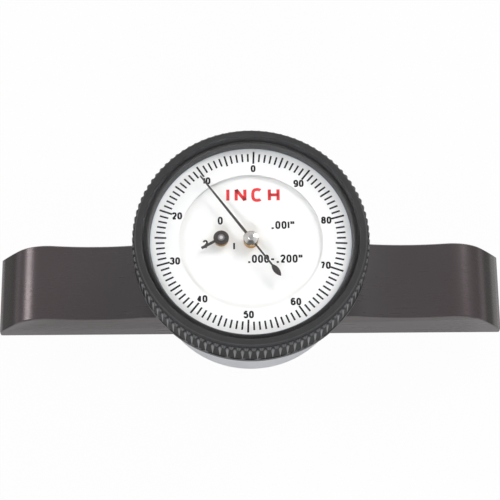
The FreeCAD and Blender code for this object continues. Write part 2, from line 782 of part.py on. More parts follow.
# Black bezel: window lip, crystal groove, flat top, steep shoulder, knurled grip and plain skirt.
def bezel():
    pocket = ring_pocket_radius
    bore = bezel_bore
    ledge = rim_top + 2 * axial_play
    groove_half = bezel_wire_size / 2 + wire_play
    groove_floor = rim_radius + bezel_wire_size / 2
    z = dial_height
    knurl_bottom = z - knurl_bottom_drop
    knurl_top = z + knurl_top_rise
    edge = bezel_edge_break
    # The shoulder bows out a little between the knurl and the flat top.
    shoulder_middle = ((shoulder_radius + top_outer_radius) / 2 + shoulder_bow,
                       z + (knurl_top_rise + top_rise) / 2)
    body = turned([
        (bore, z - skirt_drop), (skirt_radius, z - skirt_drop), (skirt_radius, knurl_bottom),
        (knurl_core_radius, knurl_bottom), (knurl_core_radius, knurl_top), (shoulder_radius, knurl_top),
        (shoulder_middle, (top_outer_radius, z + top_rise - edge)),
        (top_outer_radius - edge, z + top_rise), (top_inner_radius + edge, z + top_rise),
        (top_inner_radius, z + top_rise - edge), (crystal_groove_radius, z + crystal_groove_rise),
        (lip_radius + lip_land, z + lip_rise), (lip_radius, z + lip_rise), (bezel_window_radius, z),
        (pocket, z), (pocket, ledge), (bore, ledge),
        (bore, bezel_wire_height + groove_half), (groove_floor, bezel_wire_height + groove_half),
        (groove_floor, bezel_wire_height - groove_half), (bore, bezel_wire_height - groove_half)])
    return body.fuse(knurl_band(knurl_bottom, knurl_top)).removeSplitter()


# A clear moulded crystal: a flat top, and a rim whose bevelled foot snaps into the bezel's groove.
def crystal():
    outer = crystal_groove_radius - crystal_fit
    inner = lip_radius + lip_land + crystal_fit
    under = dial_height + crystal_underside_rise
    top = under + crystal_thickness
    foot_bottom = dial_height + crystal_groove_rise + 2 * crystal_fit
    return turned([(0.0, under), (inner, under), (inner, dial_height + lip_rise + crystal_fit),
                   (outer, foot_bottom),
                   (outer, top - crystal_edge_bevel), (outer - crystal_edge_bevel, top), (0.0, top)])


# The split wire sits in the rim's groove and keeps the bezel on while it turns.
def bezel_wire():
    inner = rim_radius - bezel_wire_size / 2 - wire_play / 2
    bottom = bezel_wire_height - bezel_wire_size / 2
    top = bottom + bezel_wire_size
    section = xz_face([(inner, bottom), (inner + bezel_wire_size, bottom), (inner + bezel_wire_size, top),
                       (inner, top)])
    ring = section.revolve(origin, up, 360 - bezel_wire_gap)
    ring.rotate(origin, up, bezel_wire_gap / 2)
    return ring


# Archimedean spiral strip from the collet out to the stud.
def spiral_radius(turn):
    return hairspring_inner + (hairspring_outer - hairspring_inner) * turn / hairspring_turns


def hairspring():
    inner = []
    outer = []
    for step in range(hairspring_turns * hairspring_steps_per_turn + 1):
        turn = step / hairspring_steps_per_turn
        inner.append(polar(spiral_radius(turn) - hairspring_gauge / 2, 360 * turn))
        outer.append(polar(spiral_radius(turn) + hairspring_gauge / 2, 360 * turn))
    return prism(inner + outer[::-1], hairspring_height, hairspring_top)


def hairspring_stud():
    radius = pivot_radius
    x = hairspring_outer + hairspring_gauge / 2 + radius
    return rod(radius, hairspring_height - plate_gap, plate_bottom, x, 0)


def hairspring_collet():
    radius = hairspring_inner - hairspring_gauge
    collet = rod(radius, centre_leaves_top, hairspring_top)
    return collet.cut(rod(centre_arbor_radius, centre_leaves_top, hairspring_top))


# Flat steel hand: a tapering blade one way, and a thin tail with a leaf the other way.
def main_hand():
    bottom = dial_height + main_hand_rise
    root = main_hand_root_width / 2
    tip = main_hand_tip_width / 2
    tail = tail_width / 2
    leaf = leaf_width / 2
    blade = prism([(0, -root), (main_hand_tip, -tip), (main_hand_tip, tip), (0, root)],
                  bottom, bottom + hand_thickness)
    stem = prism([(0, tail), (-leaf_start, tail), (-leaf_start, -tail), (0, -tail)],
                 bottom, bottom + hand_thickness)
    leaf_left = at(-leaf_start, tail, bottom)
    leaf_right = at(-leaf_start, -tail, bottom)
    leaf_tip = at(-leaf_end, 0, bottom)
    edges = [Part.Arc(leaf_left, at(-leaf_widest, leaf, bottom), leaf_tip).toShape(),
             Part.Arc(leaf_tip, at(-leaf_widest, -leaf, bottom), leaf_right).toShape(),
             Part.makeLine(leaf_right, leaf_left)]
    leaf_shape = Part.Face(Part.Wire(edges)).extrude(up * hand_thickness)
    boss = rod(hand_boss_radius, bottom, bottom + hand_thickness)
    hand = blade.multiFuse([stem, leaf_shape, boss]).removeSplitter()
    hand = hand.cut(rod(centre_arbor_radius, bottom, bottom + hand_thickness))
    hand.rotate(origin, up, main_hand_angle)
    return hand


def hub_collet():
    bottom = disc_top + hub_gap
    top = dial_height + main_hand_rise
    return rod(hub_radius, bottom, top).cut(rod(centre_arbor_radius, bottom, top))


def hub_cap():
    bottom = dial_height + main_hand_rise + hand_thickness
    top = bottom + hub_cap_thickness
    edge = bezel_edge_break
    pin = hand_pin_radius
    relief = centre_arbor_radius
    return turned([(relief, bottom), (hub_cap_radius, bottom), (hub_cap_radius, top - edge),
                   (hub_cap_radius - edge, top), (pin, top), (pin, top - hub_gap), (relief, top - hub_gap)])


def counter_hand():
    bottom = dial_height + counter_hand_rise
    top = bottom + hand_thickness
    half = counter_hand_width / 2
    hand = rod(counter_hub_radius, bottom, top)
    hand = hand.fuse(prism([(0, -half), (counter_hand_length, -half), (counter_hand_length, half), (0, half)],
                           bottom, top))
    hand = hand.cut(rod(counter_arbor_radius, bottom, top)).removeSplitter()
    hand.rotate(origin, up, counter_hand_angle)
    hand.translate(at(counter_x, counter_y, 0))
    return hand


def counter_collet():
    bottom = disc_top + hub_gap
    top = dial_height + counter_hand_rise
    body = rod(hub_radius, bottom, top, counter_x, counter_y)
    return body.cut(rod(counter_arbor_radius, bottom, top, counter_x, counter_y))


nodes = {
    "base_bar": base_bar(),
    "base_screws": base_screws(),
    "case_body": case_body(),
    "stem_bush": stem_bush(),
    "guide_post": guide_post(),
    "front_cheek": cheek(front_cheek_near, front_cheek_thickness, -1),
    "rear_cheek": cheek(rear_cheek_near, rear_cheek_thickness, 1),
    "cheek_screws": cheek_screws(),
    "centre_cock": centre_cock(),
    "cock_screws": cock_screws(),
    "pillars": pillars(),
    "upper_plate": upper_plate(),
    "plate_screws": plate_screws(),
    "centre_bush": plate_bush(centre_arbor_radius, 0, 0),
    "counter_bush": plate_bush(counter_arbor_radius, counter_x, counter_y),
    "centre_dial": centre_dial(),
    "hairspring": hairspring(),
    "hairspring_stud": hairspring_stud(),
    "bezel_wire": bezel_wire(),
    "bezel": bezel(),
    "graduated_ring": graduated_ring(),
    "ring_clip": ring_clip(),
    "crystal": crystal(),
    "plunger": plunger(),
    "contact_point": contact_point(),
    "plunger_spring": plunger_spring(),
    "crosshead": crosshead(),
    "rack_bar": rack_bar(),
    "cross_shaft": cross_shaft(),
    "contrate_wheel": contrate_wheel(),
    "centre_arbor": centre_arbor(),
    "hairspring_collet": hairspring_collet(),
    "main_hand": main_hand(),
    "hub_collet": hub_collet(),
    "hub_cap": hub_cap(),
    "counter_arbor": counter_arbor(),
    "counter_wheel": counter_wheel(),
    "counter_hand": counter_hand(),
    "counter_collet": counter_collet(),
}

os.makedirs("parts", exist_ok=True)
for name, shape in nodes.items():
    shape.exportStep(f"parts/{name}.step")
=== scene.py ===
import math

import bmesh
import bpy
import numpy as np
from mathutils import Matrix, Vector


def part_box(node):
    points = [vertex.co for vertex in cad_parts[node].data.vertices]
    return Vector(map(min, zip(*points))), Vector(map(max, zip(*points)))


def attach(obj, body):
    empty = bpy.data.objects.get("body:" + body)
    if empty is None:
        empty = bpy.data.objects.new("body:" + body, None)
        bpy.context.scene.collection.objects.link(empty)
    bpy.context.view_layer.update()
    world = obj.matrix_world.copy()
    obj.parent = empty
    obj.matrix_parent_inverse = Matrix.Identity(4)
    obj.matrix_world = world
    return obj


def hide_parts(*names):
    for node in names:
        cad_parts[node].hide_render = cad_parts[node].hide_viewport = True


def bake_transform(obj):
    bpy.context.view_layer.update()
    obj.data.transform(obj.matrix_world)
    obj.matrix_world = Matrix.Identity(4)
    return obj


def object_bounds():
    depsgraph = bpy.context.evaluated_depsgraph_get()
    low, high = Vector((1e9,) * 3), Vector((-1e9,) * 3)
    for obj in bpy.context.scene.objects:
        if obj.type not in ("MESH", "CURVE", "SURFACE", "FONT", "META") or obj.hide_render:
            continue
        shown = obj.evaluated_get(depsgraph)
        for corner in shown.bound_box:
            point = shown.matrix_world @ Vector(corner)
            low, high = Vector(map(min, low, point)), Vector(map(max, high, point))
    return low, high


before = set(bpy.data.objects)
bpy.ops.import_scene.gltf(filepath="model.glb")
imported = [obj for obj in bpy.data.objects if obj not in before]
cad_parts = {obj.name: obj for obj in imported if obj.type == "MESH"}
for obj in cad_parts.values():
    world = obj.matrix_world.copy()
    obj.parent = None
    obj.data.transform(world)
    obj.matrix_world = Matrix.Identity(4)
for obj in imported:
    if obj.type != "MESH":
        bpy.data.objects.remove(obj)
cad_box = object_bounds()
mm = 0.001

# Camera. It looks down at the dial from the front of the bar, a little from the left, with a
# long lens, so the front side of the bar and the lower edge of the case just show.
camera_tilt = math.radians(21.995)
camera_turn = math.radians(-1.326)
camera_roll = math.radians(0.856)
camera_distance = 404.131 * mm
camera_aim = Vector((0.098, 10.539, 0.0)) * mm
camera_lens = 140.36

back = Vector((math.sin(camera_turn) * math.sin(camera_tilt),
               -math.cos(camera_turn) * math.sin(camera_tilt),
               math.cos(camera_tilt)))
level = Vector((math.cos(camera_turn), math.sin(camera_turn), 0.0))
rise = back.cross(level)
right = level * math.cos(camera_roll) + rise * math.sin(camera_roll)
upward = rise * math.cos(camera_roll) - level * math.sin(camera_roll)
camera = bpy.data.objects.new("camera", bpy.data.cameras.new("camera"))
camera.data.lens = camera_lens
camera.data.clip_start = 10 * mm
camera.matrix_world = (Matrix.Translation(camera_aim + back * camera_distance)
                       @ Matrix((right, upward, back)).transposed().to_4x4())
bpy.context.scene.collection.objects.link(camera)
bpy.context.scene.camera = camera


# Base bar. A narrow steel bar milled to a shallow dip and a rounded end on each side, ground on
# its measuring face and blackened all over with a thin satin oxide that looks warmer at the ends.
class Wire:
    """A socket of a material. Sums written with it in Python become Math nodes."""

    def __init__(self, tree, socket):
        self.tree = tree
        self.socket = socket

    def node(self, kind, settings, sockets, out=0):
        """Adds a node: its settings come first, then the values or wires of its sockets."""
        made = self.tree.nodes.new("ShaderNode" + kind)
        for name, value in settings.items():
            setattr(made, name, value)
        for name, value in sockets.items():
            if isinstance(value, Wire):
                self.tree.links.new(value.socket, made.inputs[name])
            else:
                made.inputs[name].default_value = value
        return Wire(self.tree, made.outputs[out]) if made.outputs else None

    def maths(self, operation, *others):
        """A Math node that takes this value first."""
        return self.node("Math", {"operation": operation}, dict(enumerate((self, *others))))

    def __add__(self, other):
        return self.maths("ADD", other)

    def __mul__(self, other):
        return self.maths("MULTIPLY", other)

    def __sub__(self, other):
        return self.maths("SUBTRACT", other)

    def __rsub__(self, other):
        return self.node("Math", {"operation": "SUBTRACT"}, {0: other, 1: self})

    __radd__ = __add__
    __rmul__ = __mul__

    def part(self, axis):
        """One coordinate of a place."""
        return self.node("SeparateXYZ", {}, {0: self}, out=axis)

    def from_axis(self):
        """Distance of a place from the dial's axis."""
        across = self.part(0) * self.part(0) + self.part(1) * self.part(1)
        return across.maths("SQRT")

    def stretched(self, x, y, z):
        """The place with each axis scaled, for grain that runs one way."""
        return self.node("VectorMath", {"operation": "MULTIPLY"}, {0: self, 1: (x, y, z)})

    def cloudy(self, scale, detail=3.0):
        """Soft noise from 0 to 1 at this place, with so many patches to a metre."""
        return self.node("TexNoise", {}, {"Vector": self, "Scale": scale, "Detail": detail}, out="Fac")

    def turning_lines(self, scale, detail=2.0):
        """Fine lines left by a lathe, from 0 to 1, with so many to a metre of this distance."""
        return self.node("TexNoise", {"noise_dimensions": "1D"},
                         {"W": self, "Scale": scale, "Detail": detail}, out="Fac")

    def band(self, low, high):
        """0 below one value, 1 above the other, and a smooth step between them."""
        return self.node("MapRange", {"interpolation_type": "SMOOTHSTEP"},
                         {"Value": self, "From Min": low, "From Max": high})

    def tint(self, low, high):
        """Blends two colours by this mask. Each is a colour or a wire that carries one."""
        ends = [end if isinstance(end, Wire) else (*end, 1.0) for end in (low, high)]
        return self.node("Mix", {"data_type": "RGBA"}, {0: self, 6: ends[0], 7: ends[1]}, out=2)

    def relief(self, depth, strength):
        """Turns a height from 0 to 1 into the surface's small slopes, of this depth in metres."""
        return self.node("Bump", {}, {"Strength": strength, "Distance": depth, "Height": self})


def new_finish(name):
    """A new material, with the wire that carries a point's place on its piece."""
    material = bpy.data.materials.new(name)
    material.use_nodes = True
    material.node_tree.nodes.clear()
    source = material.node_tree.nodes.new("ShaderNodeTexCoord")
    return material, Wire(material.node_tree, source.outputs["Object"])


def surface(place, sockets):
    """Ends a material in one standard surface, whose sockets get values or wires."""
    shader = place.node("BsdfPrincipled", {}, sockets)
    place.node("OutputMaterial", {}, {"Surface": shader})


def black_oxide():
    """Satin black with a grain along the bar, warmer towards its ends. A band near each end is darkened
    with painted shade, the rims are made pale by painted highlight with some wear, the right rim more, and
    the long sides are made paler by painted light. Each band's two places are distances from the bar's
    middle."""
    warm_band = (20 * mm, 46 * mm)
    painted_shade_band = (46.6 * mm, 48.0 * mm)
    rim_highlight_and_wear_band = (49.9 * mm, 50.7 * mm)
    right_rim_highlight_band = (48.6 * mm, 49.8 * mm)
    painted_side_light_band = (7.70 * mm, 7.90 * mm)
    material, place = new_finish("black_oxide")
    grain = place.stretched(60.0, 1400.0, 1400.0).cloudy(1.0, 5.0)
    patches = place.cloudy(90.0)
    from_middle = place.part(0).maths("ABSOLUTE")
    colour = from_middle.band(*warm_band).tint((0.090, 0.082, 0.084), (0.108, 0.084, 0.088))
    colour = (patches * 0.5).tint(colour, (0.112, 0.104, 0.106))
    # A band near each end is darkened with painted shade.
    colour = from_middle.band(*painted_shade_band).tint(colour, (0.024, 0.016, 0.016))
    # The rims are made pale by painted highlight with some wear, and the right rim more strongly by
    # painted highlight.
    rim_highlight_and_wear = from_middle.band(*rim_highlight_and_wear_band) + place.part(0).band(*right_rim_highlight_band) * 0.6
    colour = rim_highlight_and_wear.tint(colour, (0.24, 0.22, 0.22))
    # The long sides are made paler by painted light.
    sides = place.part(1).maths("ABSOLUTE").band(*painted_side_light_band)
    colour = sides.tint(colour, (0.195, 0.177, 0.175))
    surface(place, {"Base Color": colour, "Metallic": 0.5, "Specular IOR Level": 0.35,
                    "Roughness": 0.22 + 0.07 * grain + 0.05 * patches,
                    "Normal": grain.relief(0.004 * mm, 0.35)})
    return material


merge_distance = 0.002 * mm
flat_angle = math.radians(0.3)
corner_angle = math.radians(28.0)


def merged_copy(node, name, material, body, edge=0.0):
    """Copies a made piece with its corners merged, so that its round faces shade smoothly.
    A small bevel along the sharp edges catches the light as a real broken edge does. A piece
    whose body is None is attached to no body."""
    shape = bmesh.new()
    shape.from_mesh(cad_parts[node].data)
    bmesh.ops.remove_doubles(shape, verts=shape.verts, dist=merge_distance)
    bmesh.ops.dissolve_limit(shape, angle_limit=flat_angle, verts=shape.verts, edges=shape.edges)
    mesh = bpy.data.meshes.new(name)
    shape.to_mesh(mesh)
    shape.free()
    mesh.materials.append(material)
    mesh.polygons.foreach_set("use_smooth", np.ones(len(mesh.polygons), bool))
    mesh.set_sharp_from_angle(angle=corner_angle)
    piece = bpy.data.objects.new(name, mesh)
    bpy.context.scene.collection.objects.link(piece)
    if edge:
        bevel = piece.modifiers.new("broken_edge", "BEVEL")
        bevel.width = edge
        bevel.segments = 2
        bevel.limit_method = "ANGLE"
        bevel.angle_limit = corner_angle
        bevel.harden_normals = True
    if body is not None:
        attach(piece, body)
    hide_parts(node)
    return piece


merged_copy("base_bar", "blackened_bar", black_oxide(), "frame")


# Case. A deep cup turned from aluminium and plated to a soft satin silver. It sits in the middle
# of the bar, holds the movement, and its wide rim carries the bezel.
def turned_metal(name, dark, light, roughness, metallic, rings, depth):
    """Metal from a lathe: rings is how many fine turning lines there are to a metre of radius,
    and depth is how deep they are, in metres."""
    material, place = new_finish(name)
    along = place.from_axis() + place.part(2)
    turning = along.turning_lines(rings)
    patches = place.cloudy(260.0)
    surface(place, {"Base Color": (0.6 * patches + 0.4 * turning).tint(dark, light), "Metallic": metallic,
                    "Roughness": roughness + 0.08 * turning + 0.05 * patches,
                    "Normal": turning.relief(depth, 0.5)})
    return material


satin_silver = turned_metal("satin_silver", (0.78, 0.78, 0.81), (0.91, 0.91, 0.93), 0.34, 0.85,
                            3500.0, 0.002 * mm)
merged_copy("case_body", "silver_cup", satin_silver, "frame")
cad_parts["upper_plate"].material_slots[0].material = satin_silver

# Plunger and contact. The plunger is ground steel, with a hardened contact screwed into its end
# that touches the bottom of the hole being measured.
ground_steel = turned_metal("ground_steel", (0.50, 0.50, 0.52), (0.66, 0.66, 0.67), 0.20, 1.0,
                            9000.0, 0.001 * mm)
hard_steel = turned_metal("hard_steel", (0.60, 0.60, 0.61), (0.74, 0.74, 0.75), 0.12, 1.0,
                          12000.0, 0.0005 * mm)
merged_copy("plunger", "ground_plunger", ground_steel, "plunger_body")
merged_copy("contact_point", "ball_contact", hard_steel, "plunger_body")

# Bush and screws under the bar. A brass bush guides the plunger, and two steel screws come up
# through the bar to hold the case.
turned_brass = turned_metal("turned_brass", (0.44, 0.22, 0.035), (0.60, 0.34, 0.08), 0.18, 1.0,
                            9000.0, 0.001 * mm)
screw_steel = turned_metal("screw_steel", (0.16, 0.16, 0.17), (0.26, 0.26, 0.27), 0.32, 0.9,
                           7000.0, 0.001 * mm)
merged_copy("stem_bush", "plunger_bush", turned_brass, "frame")
merged_copy("base_screws", "case_screws", screw_steel, "frame", edge=0.12 * mm)

# Movement. Brass wheels and plates, steel arbors, cheeks, rack, springs and screws, all inside
# the closed case, each with the finish that its maker leaves on it.
spring_steel = turned_metal("spring_steel", (0.10, 0.13, 0.22), (0.20, 0.24, 0.36), 0.25, 1.0,
                            6000.0, 0.0005 * mm)
for finish, names in (
        (turned_brass, ("front_cheek", "rear_cheek", "centre_cock", "centre_bush", "counter_bush",
                        "contrate_wheel", "counter_wheel", "hairspring_stud", "hairspring_collet",
                        "crosshead")),
        (ground_steel, ("guide_post", "pillars", "cross_shaft", "centre_arbor", "rack_bar", "ring_clip",
                        "bezel_wire")),
        (screw_steel, ("cheek_screws", "cock_screws", "plate_screws")),
        (spring_steel, ("hairspring",))):
    for name in names:
        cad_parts[name].material_slots[0].material = finish

# Return spring. Wound from steel wire, it stands on the plunger's shoulder and pushes against the
# bush's cap, so its lower coils rise with the plunger while its top stays.
return_spring = merged_copy("plunger_spring", "return_spring", spring_steel, None)
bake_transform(return_spring)


# Centre dial. A thin disc painted white, fixed to the movement a little below the graduated
# ring, and printed with the counter's numbers, the value of one division and the range.
def enamel(name, white, edge, shade_start, shade_end):
    """Smooth white paint that turns to a second colour of painted shade between two radii."""
    material, place = new_finish(name)
    mottle = place.cloudy(400.0)
    # Beyond the second radius the paint takes the painted shade colour.
    colour = place.from_axis().band(shade_start, shade_end).tint(white, edge)
    colour = (mottle * 0.04).tint(colour, (0.70, 0.70, 0.68))
    surface(place, {"Base Color": colour, "Roughness": 0.42 + 0.10 * mottle,
                    "Specular IOR Level": 0.35, "Normal": mottle.relief(0.002 * mm, 0.2)})
    return material


# The disc is darkened with painted shade towards the graduated ring's inner edge.
disc_paint = enamel("disc_paint", (0.90, 0.90, 0.885), (0.86, 0.86, 0.84), 11 * mm, 14 * mm)
merged_copy("centre_dial", "printed_disc", disc_paint, "frame")

ink_height = 0.012 * mm


def ink(name, colour, worn):
    """Printing ink, a little paler where it is thin."""
    material, place = new_finish(name)
    cover = place.cloudy(2500.0)
    surface(place, {"Base Color": (cover * 0.5).tint(colour, worn), "Roughness": 0.5 + 0.2 * cover,
                    "Specular IOR Level": 0.1})
    return material


bow_points = 21


def bow(middle_x, middle_y, half_width, half_height, start, end, squareness):
    """Arc of an ellipse between two angles. A squareness under 1 straightens its sides: both the
    cosine and the sine are raised to that power and keep their sign."""
    angle = np.radians(np.linspace(start, end, bow_points))
    x = np.sign(np.cos(angle)) * np.abs(np.cos(angle)) ** squareness
    y = np.sign(np.sin(angle)) * np.abs(np.sin(angle)) ** squareness
    return np.column_stack([middle_x + half_width * x, middle_y + half_height * y])


def dash(*points):
    """A straight stroke, in shares of a figure's width and height."""
    return np.array(points, float)


six = [bow(0.5, 0.3, 0.5, 0.3, 0, 360, 0.8), bow(0.5, 0.62, 0.5, 0.38, 35, 180, 0.8),
       dash((0, 0.62), (0, 0.3))]
glyphs = {
    "0": [bow(0.5, 0.5, 0.5, 0.5, 0, 360, 0.75)],
    "1": [dash((0.5, 0), (0.5, 1))],
    "2": [bow(0.5, 0.71, 0.5, 0.29, 170, -35, 0.85), dash((0.93, 0.56), (0.05, 0)), dash((0, 0), (1, 0))],
    "3": [bow(0.46, 0.76, 0.46, 0.24, 165, -90, 0.85), bow(0.46, 0.27, 0.54, 0.27, 90, -165, 0.85)],
    "4": [dash((0.72, 1), (0, 0.3)), dash((0, 0.27), (1.05, 0.27)), dash((0.72, 1), (0.72, 0))],
    "5": [dash((0.95, 1), (0.12, 1)), dash((0.14, 1), (0.06, 0.52)),
          bow(0.48, 0.33, 0.52, 0.33, 145, -160, 0.85)],
    "6": six,
    "7": [dash((0, 1), (1, 1)), dash((1, 1), (0.38, 0))],
    "8": [bow(0.5, 0.76, 0.43, 0.24, 0, 360, 0.85), bow(0.5, 0.27, 0.5, 0.27, 0, 360, 0.85)],
    "9": [1 - stroke for stroke in six],
    ".": [dash((-0.2, 0), (1.2, 0))],
    "-": [dash((0, 0.42), (1, 0.42))],
    '"': [dash((0.0, 1.08), (0.0, 0.66)), dash((1.0, 1.08), (1.0, 0.66))],
    "I": [dash((0.5, 0), (0.5, 1))],
    "N": [dash((0, 0), (0, 1)), dash((0, 1), (1, 0)), dash((1, 0), (1, 1))],
    "C": [bow(0.5, 0.5, 0.5, 0.5, 48, 312, 0.75)],
    "H": [dash((0, 0), (0, 1)), dash((1, 0), (1, 1)), dash((0, 0.5), (1, 0.5))],
}
narrow = {".": 0.66, "1": 0.34, "I": 0.34, "-": 0.95, '"': 0.75}


def lettering(text, middle_x, middle_y, height, width, stroke, gap):
    """Strokes of a line of figures centred on a point. Width is a wide figure's whole width."""
    widths = [width * narrow.get(letter, 1.0) for letter in text]
    x = middle_x - (sum(widths) + gap * (len(text) - 1)) / 2
    paths = []
    for letter, wide in zip(text, widths):
        inner = max(wide - stroke, 0.0)
        for path in glyphs[letter]:
            across = x + stroke / 2 + path[:, 0] * inner
            up = middle_y - height / 2 + stroke / 2 + path[:, 1] * (height - stroke)
            paths.append(np.column_stack([across, up]))
        x += wide + gap
    return paths


def strip(path, half_width, low, high):
    """A flat bar carried along a path: at each point its two sides stand half a width left and
    right, square to the path's direction there. A path that ends where it starts is a loop."""
    looped = np.allclose(path[0], path[-1])
    if looped:
        path = path[:-1]
        direction = np.roll(path, -1, 0) - np.roll(path, 1, 0)
    else:
        direction = np.gradient(path, axis=0)
    direction /= np.linalg.norm(direction, axis=1)[:, None]
    side = np.column_stack([-direction[:, 1], direction[:, 0]]) * half_width
    left = path + side
    right_hand = path - side
    count = len(path)
    points = np.empty((count, 4, 3))
    corners = (left, low), (left, high), (right_hand, high), (right_hand, low)
    for column, (edge, height) in enumerate(corners):
        points[:, column, :2] = edge
        points[:, column, 2] = height
    row = np.arange(count if looped else count - 1)[:, None]
    column = np.arange(4)[None, :]
    after = (row + 1) % count
    beside = (column + 1) % 4
    faces = np.stack([row * 4 + column, after * 4 + column, after * 4 + beside, row * 4 + beside], -1)
    faces = faces.reshape(-1, 4).tolist()
    if not looped:
        last = 4 * (count - 1)
        faces += [[0, 1, 2, 3], [last + 3, last + 2, last + 1, last]]
    return points.reshape(-1, 3), faces


def printed(name, paths, half_widths, face, material, body):
    """One print: every stroke stands a hair above the painted face, in metres."""
    points = []
    faces = []
    start = 0
    for path, half_width in zip(paths, half_widths):
        corners, sides = strip(path, half_width, face, face + ink_height)
        points.append(corners)
        faces += [[corner + start for corner in side] for side in sides]
        start += len(corners)
    return placed_mesh(name, np.concatenate(points), faces, material, body, smooth=False)


def placed_mesh(name, points, faces, material, body, smooth):
    """A new piece from its points in metres and its faces, on its body and in its material slot."""
    mesh = bpy.data.meshes.new(name)
    mesh.from_pydata(points.tolist(), [], faces)
    mesh.materials.append(material)
    mesh.polygons.foreach_set("use_smooth", np.full(len(mesh.polygons), smooth))
    piece = bpy.data.objects.new(name, mesh)
    bpy.context.scene.collection.objects.link(piece)
    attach(piece, body)
    return piece


disc_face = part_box("centre_dial")[1].z
black_ink = ink("black_ink", (0.004, 0.004, 0.004), (0.010, 0.009, 0.010))
red_ink = ink("red_ink", (0.72, 0.030, 0.035), (0.78, 0.060, 0.060))
print_stroke = 0.35
disc_print = []
for text, x, y, height, width, gap in (
        ("0", -5.83, 4.36, 1.65, 0.98, 0.3), ("1", -3.22, -0.91, 1.65, 0.98, 0.3),
        ("2", -8.70, -0.44, 1.65, 0.98, 0.3), ('.001"', 6.10, 3.39, 1.64, 0.98, 0.20),
        ('.000-.200"', 4.55, -3.55, 1.69, 0.98, 0.18)):
    disc_print += lettering(text, x, y, height, width, print_stroke, gap)
printed("disc_numbers", [path * mm for path in disc_print], [print_stroke / 2 * mm] * len(disc_print),
        disc_face, black_ink, "frame")
unit_stroke = 0.62
unit_print = lettering("INCH", 0.45, 9.70, 2.90, 2.30, unit_stroke, 0.90)
printed("unit_word", [path * mm for path in unit_print], [unit_stroke / 2 * mm] * len(unit_print),
        disc_face, red_ink, "frame")

# Graduated ring. A flat white ring with a hundred divisions, which turns with the bezel to set
# zero. Its numbers stand upright and grow anticlockwise, since the hand falls as depth grows.
ring_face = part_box("graduated_ring")[1].z
# The ring's outer edge, next to the bezel's lip, is tinted with bluish painted shade.
ring_paint = enamel("ring_paint", (0.90, 0.90, 0.895), (0.70, 0.77, 0.82), 18.75 * mm, 19.4 * mm)
merged_copy("graduated_ring", "white_ring", ring_paint, "bezel_body")

zero_mark_angle = 87.84
divisions = 100
tick_spans = {10: (16.05, 18.60, 0.36), 5: (16.15, 18.38, 0.35), 1: (16.45, 18.14, 0.34)}
tick_paths = []
tick_halves = []
for division in range(divisions):
    size = 10 if division % 10 == 0 else 5 if division % 5 == 0 else 1
    inner, outer, wide = tick_spans[size]
    angle = math.radians(zero_mark_angle + 360 * division / divisions)
    ray = np.array([math.cos(angle), math.sin(angle)])
    tick_paths.append(np.array([inner * ray, outer * ray]) * mm)
    tick_halves.append(wide / 2 * mm)
printed("ring_divisions", tick_paths, tick_halves, ring_face, black_ink, "bezel_body")

figure_circle = 15.03
figure_height = 1.50
figure_width = 0.94
figure_gap = 0.10
figure_stroke = 0.36
figure_paths = []
for tens in range(10):
    angle = math.radians(zero_mark_angle + 36 * tens)
    figure_paths += lettering(str(10 * tens), figure_circle * math.cos(angle),
                              figure_circle * math.sin(angle), figure_height, figure_width,
                              figure_stroke, figure_gap)
printed("ring_numbers", [path * mm for path in figure_paths],
        [figure_stroke / 2 * mm] * len(figure_paths), ring_face, black_ink, "bezel_body")


# Hands. Both are blued steel strip on turned brass collets. The long hand has a polished steel
# cap pressed over its arbor, and the counter's arbor shows as a bright rivet in its disc.
def blued_steel():
    """Strip steel, darkened by heat, with a faint grain."""
    material, place = new_finish("blued_steel")
    grain = place.cloudy(1200.0, 2.0)
    surface(place, {"Base Color": grain.tint((0.040, 0.034, 0.033), (0.062, 0.053, 0.051)),
                    "Metallic": 0.4, "Roughness": 0.34 + 0.08 * grain,
                    "Normal": grain.relief(0.001 * mm, 0.2)})
    return material


hand_steel = blued_steel()
merged_copy("main_hand", "long_hand", hand_steel, "main_hand_body", edge=0.03 * mm)
merged_copy("hub_collet", "long_hand_collet", turned_brass, "main_hand_body", edge=0.05 * mm)
merged_copy("counter_hand", "short_hand", hand_steel, "counter_hand_body", edge=0.05 * mm)
merged_copy("counter_collet", "short_hand_collet", turned_brass, "counter_hand_body", edge=0.05 * mm)
counter_low, counter_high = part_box("counter_collet")
counter_axis = ((counter_low.x + counter_high.x) / 2, (counter_low.y + counter_high.y) / 2)


def rivet_with_painted_highlight():
    """The end of the counter's arbor: a painted highlight in the middle of its turned face and painted
    shade at its rim.
    """
    material, place = new_finish("rivet_with_painted_highlight")
    centred = place.node("VectorMath", {"operation": "SUBTRACT"}, {0: place, 1: (*counter_axis, 0.0)})
    radius = centred.from_axis()
    lines = radius.turning_lines(6000.0)
    # Painted highlight in the middle, painted shade at the rim.
    colour = radius.band(0.25 * mm, 0.45 * mm).tint((0.95, 0.93, 0.93), (0.30, 0.28, 0.28))
    surface(place, {"Base Color": (0.2 * lines).tint(colour, (0.15, 0.14, 0.14)), "Metallic": 1.0,
                    "Roughness": 0.30 + 0.10 * lines})
    return material


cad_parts["counter_arbor"].material_slots[0].material = rivet_with_painted_highlight()


def turned_shape(radii, heights, steps):
    """Surface of revolution: outline point i at angle t is (radius_i cos t, radius_i sin t,
    height_i). The outline runs so that its outside is on its right."""
    angle = np.arange(steps) * 2 * math.pi / steps
    points = np.empty((len(radii), steps, 3))
    points[:, :, 0] = np.outer(radii, np.cos(angle))
    points[:, :, 1] = np.outer(radii, np.sin(angle))
    points[:, :, 2] = np.asarray(heights)[:, None]
    return points


def grid_faces(rows, columns, loop):
    """Four-cornered faces of a grid whose columns close round the axis. With loop, its rows
    close too, so that the outline has a wall all the way round."""
    row = np.arange(rows if loop else rows - 1)[:, None]
    column = np.arange(columns)[None, :]
    above = (row + 1) % rows
    beside = (column + 1) % columns
    faces = np.stack([row * columns + column, row * columns + beside,
                      above * columns + beside, above * columns + column], -1)
    return faces.reshape(-1, 4)


seam_distance = 0.0005 * mm


